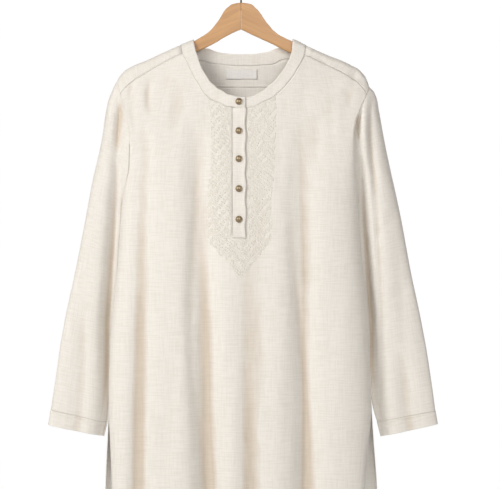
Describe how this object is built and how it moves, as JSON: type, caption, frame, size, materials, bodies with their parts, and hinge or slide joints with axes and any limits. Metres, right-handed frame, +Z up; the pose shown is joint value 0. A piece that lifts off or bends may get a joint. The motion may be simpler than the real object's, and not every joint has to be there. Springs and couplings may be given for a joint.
{
  "type": "kurta tunic on a hanger",
  "caption": "Cream linen kurta tunic with a flat neck band, half placket with brass buttons, long sleeves and side slits, on a flat wooden hanger.",
  "frame": {"origin": "top of the inside of the hanger's hook, where it hangs on a rail or peg", "axes": "+Z up, the front of the garment faces -Y, +X to the right of someone looking at the front"},
  "size_m": [0.6893, 0.0866, 0.9483],
  "materials": {
    "cloth": "matte woven linen and cotton",
    "trim": "matte woven linen and cotton, doubled",
    "label": "matte woven tape",
    "brass": "aged, satin",
    "wood": "satin clear varnish",
    "steel": "dark, satin"
  },
  "bodies": {
    "root": {"front": "cloth", "back": "cloth", "yoke": "cloth", "sleeve_left": "cloth", "sleeve_right": "cloth", "cuff_left": "trim", "cuff_right": "trim", "collar": "trim", "placket_over": "trim", "placket_under": "trim", "label": "label", "button_1": "brass", "button_2": "brass", "button_3": "brass", "button_4": "brass", "button_5": "brass", "hanger_left": "wood", "hanger_right": "wood", "hook": "steel"}
  },
  "joints": []
}
